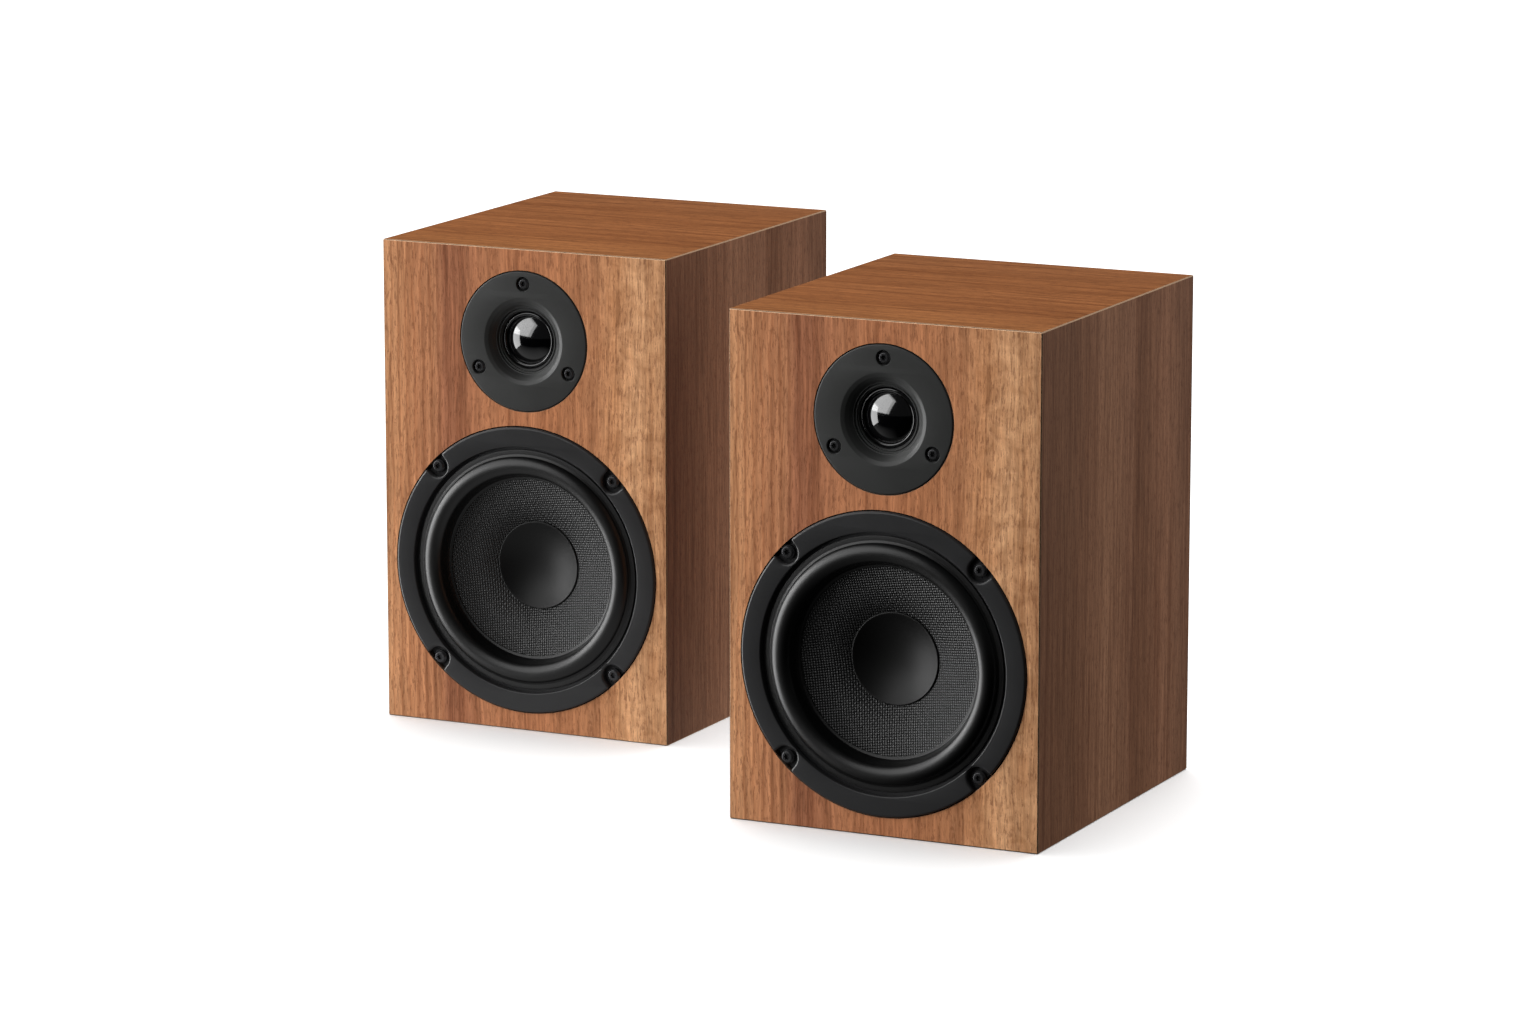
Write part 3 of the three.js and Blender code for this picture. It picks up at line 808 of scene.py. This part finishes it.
def woofer_trim(speaker):
    """A flat ring, rounded over at its notched rim and at its inner lip."""
    rise = fillets([(-3, TRIM_FRONT, 0), (0, TRIM_FRONT, 1.3), (0, TRIM_BACK, 0)], steps=6)
    fall = fillets([(3, TRIM_FRONT, 0), (0.2, TRIM_FRONT, 0.6), (0, TRIM_BACK, 0)], steps=4)
    shell = plate((notched_outline(), rise[1:], False), (circle(TRIM_INNER), fall[1:], False))
    speaker.piece("trim_ring", moved(shell, z=WOOFER_Z), ("trim",), ["woofer_trim_ring"], "trim_plastic")


def woofer_surround(speaker):
    """A rubber half roll between a flange under the trim ring and a lip on the cone's rim."""
    skin = 0.8
    flange = 1.3
    flange_skin = 0.7
    neck = 4.4
    lip = CONE_FRONT - 0.75

    def roll(inwards, first, last):
        """The half roll's arc, or the one that lies so far inside of it."""
        width = ROLL_WIDTH - inwards
        height = ROLL_HEIGHT - inwards
        turns = [math.radians(angle) for angle in evenly(first, last, 16)]
        return [(ROLL_RADIUS + width * math.cos(turn), ROLL_CENTRE - height * math.sin(turn), 0)
                for turn in turns]

    # from the flange in over the roll to the lip, and back behind it
    front = [
        (ROLL_FLANGE, flange, 0.3), (59.9, flange, 0.5), *roll(0, *ROLL_ARC),
        (48.2, neck, 1.5), (47.4, lip, 0.5), (ROLL_LIP, lip + 0.2, 0.2),
    ]
    back = [
        (ROLL_LIP, CONE_FRONT - 0.1, 0), (47.7, CONE_FRONT - 0.15, 0.4), (49, neck, 1),
        *roll(skin, *reversed(ROLL_ARC)),
        (59.4, flange + flange_skin, 0.4), (ROLL_FLANGE, flange + flange_skin, 0.2),
    ]
    shell = lathe(fillets(front + back, closed=True))
    made = speaker.piece("half_roll", moved(shell, z=WOOFER_Z), ("rubber",), ["woofer_surround"],
                         "surround_rubber", body=None)
    speaker.blend_outwards(made, "woofer_cone", 48.5, 59.4, WOOFER_Z)


def woofer_cone(speaker):
    """A cone that curves a little in its outer half, with a short neck."""
    front = fillets([(CONE_OUTER, CONE_FRONT, 0), (34, 10.6, 40), (22.6, 14.9, 0),
                     (CONE_INNER, CONE_BACK, 0)], steps=8)
    back = [(radius, y + CONE_SKIN) for radius, y in reversed(front)]
    speaker.piece("woven_cone", moved(lathe(front + back), z=WOOFER_Z), ("cone",), ["woofer_cone"],
                  "cone_weave", body="woofer_cone")


def woofer_dust_cap(speaker):
    """A concave cap with a thin glued rim."""
    rim_radius = CAP_RADIUS + 0.9
    base = CAP_FRONT - math.sqrt(CAP_CURVE ** 2 - CAP_RADIUS ** 2)
    radii = evenly(0, CAP_RADIUS - 0.5, 14)
    bowl = [(radius, base + math.sqrt(CAP_CURVE ** 2 - radius ** 2)) for radius in radii]
    rim = fillets([(*bowl[-1], 0), (CAP_RADIUS + 0.3, CAP_FRONT - 0.15, 0.5),
                   (rim_radius, CAP_FRONT, 0.3), (rim_radius, CAP_FRONT + 0.4, 0)], steps=3)
    back = [(radius, y + CAP_SKIN) for radius, y in reversed(bowl)]
    speaker.piece("concave_cap", moved(lathe(bowl + rim[1:] + back), z=WOOFER_Z), ("cap",),
                  ["woofer_dust_cap"], "dust_cap", body="woofer_cone")


def woofer_spider(speaker):
    """A corrugated disc whose waves swell from its edges to its middle."""
    waves = 5
    facets = 96
    front = []
    for part in evenly(0, 1, 60):
        swell = SPIDER_WAVE * math.sin(math.pi * part) ** 0.5
        front.append((SPIDER_INNER + (SPIDER_OUTER - SPIDER_INNER) * part,
                      SPIDER_Y + swell * math.sin(math.tau * waves * part)))
    back = [(radius, y + SPIDER_SKIN) for radius, y in reversed(front)]
    made = speaker.piece("corrugated_spider", moved(lathe(front + back, facets), z=WOOFER_Z), ("spider",),
                         ["woofer_spider"], "spider_cloth", body=None)
    speaker.blend_outwards(made, "woofer_cone", SPIDER_INNER + 1, SPIDER_OUTER - 1.5, WOOFER_Z)


# ---- screws ----

def six_lobe(radius, wave):
    return waved(SMALL_ROUND, lambda turn: radius + wave * math.cos(6 * turn))


def screw(head, top, seat, shank, tip):
    """A screw along y with a domed head, a bevelled rim and a six-lobe socket. head and shank are radii.
    The head reaches from top to seat, and the shank from there to the tip."""
    point = 0.3
    # over the crown and the rim, and down the shank to its point
    rise = fillets([
        (-head * 0.45, top, 0), (-head * 0.28, top, 0.3), (-0.35, top + 0.7, 0.25), (0, top + 1.0, 0.15),
        (0, seat, 0.1), (shank - head, seat, 0), (shank - head, tip - 1, 0), (point - head, tip, 0),
    ], steps=3)
    socket = [(0.12, top), (0, top + 0.15), (0, top + 1.3)]
    lobes = six_lobe(head * 0.36, head * 0.07)
    return plate((circle(head, SMALL_ROUND), rise, False), (lobes, socket, True))


def screws(speaker, driver, places, height, **sizes):
    for number, (x, z) in enumerate(places, 1):
        shell = moved(screw(**sizes), x, 0, z + height)
        speaker.piece(f"{driver}_bolt_{number}", shell, ("screw",), [f"{driver}_screw_{number}"],
                      "screw_steel")


# ---- tweeter ----

def tweeter_faceplate(speaker):
    """A round plate with a short horn, a stepped ring at its throat and a pocket round each screw."""
    throat = 6.3
    rim = fillets([(-2, PLATE_FRONT, 0), (0, PLATE_FRONT, 0.7), (0, PLATE_BACK, 0)], steps=5)
    # corners (radius, y, rounding) down the horn, over the ring in its throat and out behind the plate
    horn = fillets([
        (25, PLATE_FRONT, 0), (HORN_MOUTH, PLATE_FRONT, 1.4), (20.4, 0.5, 2), (18.8, 1.9, 2),
        (17.5, 3.5, 0.3), (17, 3.5, 0.15), (16.9, 4.5, 0.1), (16.1, 4.6, 0.1), (16, 4.1, 0.1),
        (15.7, 4.1, 0.1), (15.6, 5, 0.1), (15, 5, 0.1), (14.8, throat, 0), (24, throat, 0),
        (24, PLATE_BACK, 0),
    ], steps=4)
    horn_rows = [(radius - HORN_MOUTH, y) for radius, y in horn[1:]]
    recess = [(0.3, PLATE_FRONT), (0, PLATE_FRONT + 0.3), (0, 1.9)]
    pockets = [(circle(TWEETER_POCKET, SMALL_ROUND, x, z), recess, True)
               for x, z in around(TWEETER_SCREW_ANGLES, TWEETER_SCREW_CIRCLE)]
    shell = plate(
        (circle(PLATE_RADIUS), rim[1:], False), (circle(HORN_MOUTH), horn_rows, False), *pockets)
    speaker.piece("horn_plate", moved(shell, z=TWEETER_Z), ("faceplate",), ["tweeter_faceplate"],
                  "faceplate_plastic")


def tweeter_dome(speaker):
    """The dome with the coil former behind its rim."""
    film = 0.35
    former_skin = 0.4
    base = DOME_BASE + math.sqrt(DOME_CURVE ** 2 - DOME_RADIUS ** 2)
    radii = evenly(0, DOME_RADIUS, 20)
    dome = [(radius, base - math.sqrt(DOME_CURVE ** 2 - radius ** 2)) for radius in radii]
    former_inside = DOME_RADIUS - former_skin
    former = [(DOME_RADIUS, FORMER_END), (former_inside, FORMER_END), (former_inside, DOME_BASE)]
    inside = [(radius * 0.97, y + film) for radius, y in reversed(dome[:-1])]
    speaker.piece("gloss_dome", moved(lathe(dome + former + inside), z=TWEETER_Z), ("dome",),
                  ["tweeter_dome"], "dome_film", body="tweeter_dome")


def tweeter_roll(speaker):
    """The small half roll that the dome hangs in. It has no node of its own."""
    skin = 0.25
    crest = (DOME_RADIUS + DOME_ROLL) / 2
    half = (DOME_ROLL - DOME_RADIUS) / 2 - 0.1
    ridge = [(crest - half * math.cos(turn), DOME_ROLL_FRONT - DOME_ROLL_HEIGHT * math.sin(turn))
             for turn in evenly(0, math.pi, 12)]
    roll = lathe(ridge + [(radius, y + skin) for radius, y in reversed(ridge)])
    made = speaker.piece("dome_roll", moved(roll, z=TWEETER_Z), ("dome",), [], "dome_film", body=None)
    speaker.blend_outwards(made, "tweeter_dome", DOME_RADIUS, DOME_ROLL, TWEETER_Z)


# ---- terminals ----

def terminal_cup(speaker):
    """A flanged cup with a pocket at each corner of its flange and a collar round each stud."""
    flange = rectangle(CUP_HALF[0], TERMINAL_Z - CUP_HALF[1], TERMINAL_Z + CUP_HALF[1], CUP_CORNER)
    opening = rectangle(CUP_OPENING[0], TERMINAL_Z - CUP_OPENING[1], TERMINAL_Z + CUP_OPENING[1], 6)
    edge = fillets([(-4, PROUD_BACK, 0), (0, PROUD_BACK, 0.8), (0, FLANGE_SEAT, 0.2), (-8, FLANGE_SEAT, 0),
                    (-8, CUP_FLOOR - 2.2, 0)], steps=4)
    well = fillets([(3, PROUD_BACK, 0), (0, PROUD_BACK, 1.2), (-4, CUP_FLOOR, 2), (-9, CUP_FLOOR, 0)],
                   steps=5)
    screw_x, screw_z = (half - CUP_SCREW_INSET for half in CUP_HALF)
    places = [(sx * screw_x, TERMINAL_Z + sz * screw_z) for sx in (-1, 1) for sz in (-1, 1)]
    recess = [(0.2, PROUD_BACK), (0, PROUD_BACK - 0.2), (0, PROUD_BACK - 1.4)]
    pockets = [(circle(3, SMALL_ROUND, x, z), recess, True) for x, z in places]
    shell = plate((flange, edge[1:], False), (opening, well[1:-1], True), *pockets)
    bore = STUD_RADIUS + 0.1
    base = CUP_FLOOR - 1
    collar = lathe(fillets([(bore, base, 0), (COLLAR_RADIUS, base, 0), (COLLAR_RADIUS, COLLAR_END, 0.4),
                            (bore, COLLAR_END, 0.3)], steps=3, closed=True), SMALL_ROUND)
    collars = [moved(collar, sign * STUD_X, 0, TERMINAL_Z) for sign in (-1, 1)]
    speaker.piece("cup_shell", joined(shell, *collars), ("black",), ["terminal_cup"], "terminal_black")
    for number, (x, z) in enumerate(places, 1):
        bolt = facing_back(screw(head=2.6, top=0.3 - PROUD_BACK, seat=1.7 - PROUD_BACK, shank=1.3,
                                 tip=6.2 - PROUD_BACK))
        speaker.piece(f"cup_bolt_{number}", moved(bolt, x, 0, z), ("screw",), [], "screw_steel")


def knurled(radius, ridges, depth):
    return waved(6 * ridges, lambda turn: radius - depth * (0.5 - 0.5 * math.cos(ridges * turn)) ** 2)


def stud():
    """A metal post with a blind hole in its end."""
    post = [(-0.25, STUD_END), (0, STUD_END - 0.25), (0, CUP_FLOOR + 0.2)]
    hole = [(0.2, STUD_END), (0, STUD_END - 0.2), (0, STUD_END - 9)]
    return plate((circle(STUD_RADIUS, SMALL_ROUND), post, False), (circle(1.7, SMALL_ROUND), hole, True))


def clamp_washer():
    front, back = WASHER_SPAN
    bore = 2.9
    section = [(bore, front, 0.1), (KNOB_RADIUS, front, 0.3), (KNOB_RADIUS, back, 0.3), (bore, back, 0.1)]
    return lathe(fillets(section, 3, closed=True), SMALL_ROUND)


def knob():
    """A knurled cap with a rounded end, a shoulder behind the knurl and a bore for the stud."""
    front, back = KNOB_SPAN
    rows = fillets([(-3.5, back, 0), (-0.7, back, 0.6), (0, back - 1, 0.4), (0, front + 1.9, 0),
                    (-0.8, front + 1.5, 0.3), (-0.8, front, 0)], steps=3)
    bore = [(0.4, back), (0, back - 0.4), (0, front)]
    grip = knurled(KNOB_RADIUS, ridges=22, depth=0.55)
    return plate((grip, rows[1:], False), (circle(2.7, SMALL_ROUND), bore, False))


def terminals(speaker):
    for colour, x in (("red", STUD_X), ("black", -STUD_X)):
        speaker.piece(f"{colour}_stud", moved(stud(), x, 0, TERMINAL_Z), ("steel",), [], "plated_steel")
        speaker.piece(f"{colour}_clamp", moved(clamp_washer(), x, 0, TERMINAL_Z), ("steel",),
                      [f"{colour}_washer"], "plated_steel", body=f"{colour}_washer")
        speaker.piece(f"{colour}_knob", moved(knob(), x, 0, TERMINAL_Z), (colour,), [f"{colour}_cap"],
                      f"terminal_{colour}", body=f"{colour}_cap")


def inner_pieces(speaker):
    """What is closed in keeps its own shape."""
    kept = {
        "woofer_basket": "basket", "woofer_voice_coil": "copper", "woofer_top_plate": "steel",
        "woofer_magnet": "ferrite", "woofer_yoke": "steel", "tweeter_motor": "ferrite",
        "crossover_board": "board",
    }
    for node, material in kept.items():
        speaker.finish(node, material)


def make_speaker(side):
    speaker = Speaker(side)
    cabinet_wrap(speaker)
    front_baffle(speaker)
    rear_panel(speaker)
    reflex_port(speaker)
    woofer_trim(speaker)
    woofer_surround(speaker)
    woofer_cone(speaker)
    woofer_dust_cap(speaker)
    woofer_spider(speaker)
    screws(speaker, "woofer", around(SCREW_ANGLES, SCREW_CIRCLE), WOOFER_Z,
           head=3.5, top=-0.2, seat=2.0, shank=1.7, tip=10.2)
    tweeter_faceplate(speaker)
    tweeter_dome(speaker)
    tweeter_roll(speaker)
    screws(speaker, "tweeter", around(TWEETER_SCREW_ANGLES, TWEETER_SCREW_CIRCLE), TWEETER_Z,
           head=3.1, top=0.0, seat=1.6, shank=1.5, tip=10.2)
    terminal_cup(speaker)
    terminals(speaker)
    inner_pieces(speaker)


# ---- stage, light and camera ----

CAMERA_AZIMUTH = 25.63
CAMERA_ELEVATION = 11.24
CAMERA_DISTANCE = 3.035
CAMERA_TARGET = Vector((-0.005, -0.003, 0.1195))
LENS = 140.625
CLIP_END = 100
FLOOR_SIZE = 14
FLOOR_GREY = 0.85
FLOOR_GLOW = 0.2  # what the floor adds to its own shade, for the camera
FLOOR_BOUNCE = 0.25  # what the floor sends to the speakers, where it is brightest
BOUNCE_ACROSS = (-0.05, 0.15)  # it fades out between these to the right, in metres
BOUNCE_AHEAD = (-0.15, -0.45)  # and between these in front
ROOM_LIGHT = 0.03
BACKDROP = 1.2  # the room, as the camera sees it


def direction(azimuth, elevation):
    """Unit vector from the object towards that azimuth (0 is in front) and elevation, in degrees."""
    a, e = math.radians(azimuth), math.radians(elevation)
    return Vector((math.sin(a) * math.cos(e), -math.cos(a) * math.cos(e), math.sin(e)))


def camera():
    made = bpy.data.objects.new("camera", bpy.data.cameras.new("camera"))
    made.data.lens = LENS
    made.data.clip_end = CLIP_END
    towards = direction(CAMERA_AZIMUTH, CAMERA_ELEVATION)
    made.location = CAMERA_TARGET + towards * CAMERA_DISTANCE
    made.rotation_euler = towards.to_track_quat("Z", "Y").to_euler()
    bpy.context.scene.collection.objects.link(made)
    bpy.context.scene.camera = made


def shine(light, azimuth, elevation, distance):
    """Aims a light at the speakers."""
    made = bpy.data.objects.new(light.name, light)
    towards = direction(azimuth, elevation)
    made.location = CAMERA_TARGET + towards * distance
    made.rotation_euler = towards.to_track_quat("Z", "Y").to_euler()
    bpy.context.scene.collection.objects.link(made)
    return made


def linked(name, objects, state):
    """A collection that says what a light has to do with: only these objects, or all but these."""
    made = bpy.data.collections.new(name)
    for number, item in enumerate(objects):
        made.objects.link(item)
        made.collection_objects[number].light_linking.link_state = state
    return made


def softbox(floor, name, azimuth, elevation, distance, size, watts, unlit, lit):
    """A light for the lit pieces alone, or else for all but the unlit ones. The floor gets none of it and
    doesn't block it, so that it may stand lower."""
    light = bpy.data.lights.new(name, "AREA")
    light.shape = "RECTANGLE"
    light.size, light.size_y = size
    light.energy = watts
    made = shine(light, azimuth, elevation, distance)
    if lit:
        receivers = linked(name + "_lit", lit, "INCLUDE")
    else:
        receivers = linked(name + "_unlit", [floor, *unlit], "EXCLUDE")
    made.light_linking.receiver_collection = receivers
    made.light_linking.blocker_collection = linked(name + "_shade", [floor], "EXCLUDE")


def sky(floor, name, azimuth, elevation, spread, strength):
    """Even, soft light on the floor alone, which the speakers shade."""
    light = bpy.data.lights.new(name, "SUN")
    light.angle = math.radians(spread)
    light.energy = strength
    made = shine(light, azimuth, elevation, distance=2)
    made.light_linking.receiver_collection = linked(name + "_lit", [floor], "INCLUDE")


def spread_over(tree, value, source, target):
    """A value carried from one range over to another. The ends of the target may be sockets."""
    made = tree.nodes.new("ShaderNodeMapRange")
    tree.links.new(value, made.inputs["Value"])
    names = ("From Min", "From Max", "To Min", "To Max")
    for name, end in zip(names, (*source, *target)):
        if isinstance(end, bpy.types.NodeSocket):
            tree.links.new(end, made.inputs[name])
        else:
            made.inputs[name].default_value = end
    return made.outputs[0]


def camera_level(tree, unseen, seen):
    """A number that is one thing to the camera and another to all other rays."""
    path = tree.nodes.new("ShaderNodeLightPath")
    return spread_over(tree, path.outputs["Is Camera Ray"], (0, 1), (unseen, seen))


def paper_floor():
    """A pale sweep that stays white to the camera, but for the soft shadows at the cabinets' feet."""
    build = bmesh.new()
    bmesh.ops.create_grid(build, x_segments=1, y_segments=1, size=FLOOR_SIZE / 2)
    mesh = bpy.data.meshes.new("floor")
    build.to_mesh(mesh)
    build.free()
    floor = bpy.data.objects.new("floor", mesh)
    bpy.context.scene.collection.objects.link(floor)

    material = bpy.data.materials.new("floor_paper")
    material.use_nodes = True
    tree = material.node_tree
    shader = tree.nodes["Principled BSDF"]
    shader.inputs["Roughness"].default_value = 1
    shader.inputs["Specular IOR Level"].default_value = 0
    shader.inputs["Emission Color"].default_value = (1, 1, 1, 1)
    place = tree.nodes.new("ShaderNodeTexCoord")
    parts = tree.nodes.new("ShaderNodeSeparateXYZ")
    tree.links.new(place.outputs["Object"], parts.inputs[0])
    across = spread_over(tree, parts.outputs["X"], BOUNCE_ACROSS, (FLOOR_BOUNCE, 0))
    bounce = spread_over(tree, parts.outputs["Y"], BOUNCE_AHEAD, (across, 0))
    tree.links.new(camera_level(tree, 0, FLOOR_GREY), shader.inputs["Base Color"])
    tree.links.new(camera_level(tree, bounce, FLOOR_GLOW), shader.inputs["Emission Strength"])
    mesh.materials.append(material)
    return floor


def room():
    """White behind the speakers, and dim for what lights them."""
    world = bpy.data.worlds.new("room")
    world.use_nodes = True
    tree = world.node_tree
    background = tree.nodes["Background"]
    tree.links.new(camera_level(tree, ROOM_LIGHT, BACKDROP), background.inputs["Strength"])
    background.inputs["Color"].default_value = (1, 1, 1, 1)
    bpy.context.scene.world = world


def studio():
    """The wood, the drivers and the floor each have lights of their own, as neither speaker is to tint
    the other and black parts need other light than wood does."""
    floor = paper_floor()
    room()

    def both(label):
        return [bpy.data.objects[f"{side}_{label}"] for side in SIDES]

    wraps = both("wrap_shell")
    baffles = both("baffle_board")
    domes = both("gloss_dome")
    wood = wraps + baffles
    lamps = [  # name, azimuth, elevation, distance, (width, height), watts, unlit, lit
        ("baffle_key", -62, 38, 7.0, (7.0, 5.4), 1400, (), baffles),
        ("driver_key", -56, 28, 5.0, (8.0, 4.5), 140, wood, ()),
        ("left_wall", -98, -4, 6.0, (14.0, 5.6), 860, wood, ()),
        ("dome_light", -52, 30, 3.0, (5.6, 2.8), 110, (), domes),
        ("top_light", -60, 60, 4.0, (3.0, 3.0), 170, (), wraps),
        ("side_fill", 122, 15, 3.0, (2.2, 1.8), 37, (), ()),
    ]
    for lamp in lamps:
        softbox(floor, *lamp)
    sky(floor, "floor_sky", azimuth=-150, elevation=80, spread=50, strength=4.8)
    bpy.context.scene.view_settings.view_transform = "Standard"


camera()
for side in SIDES:
    make_speaker(side)
studio()
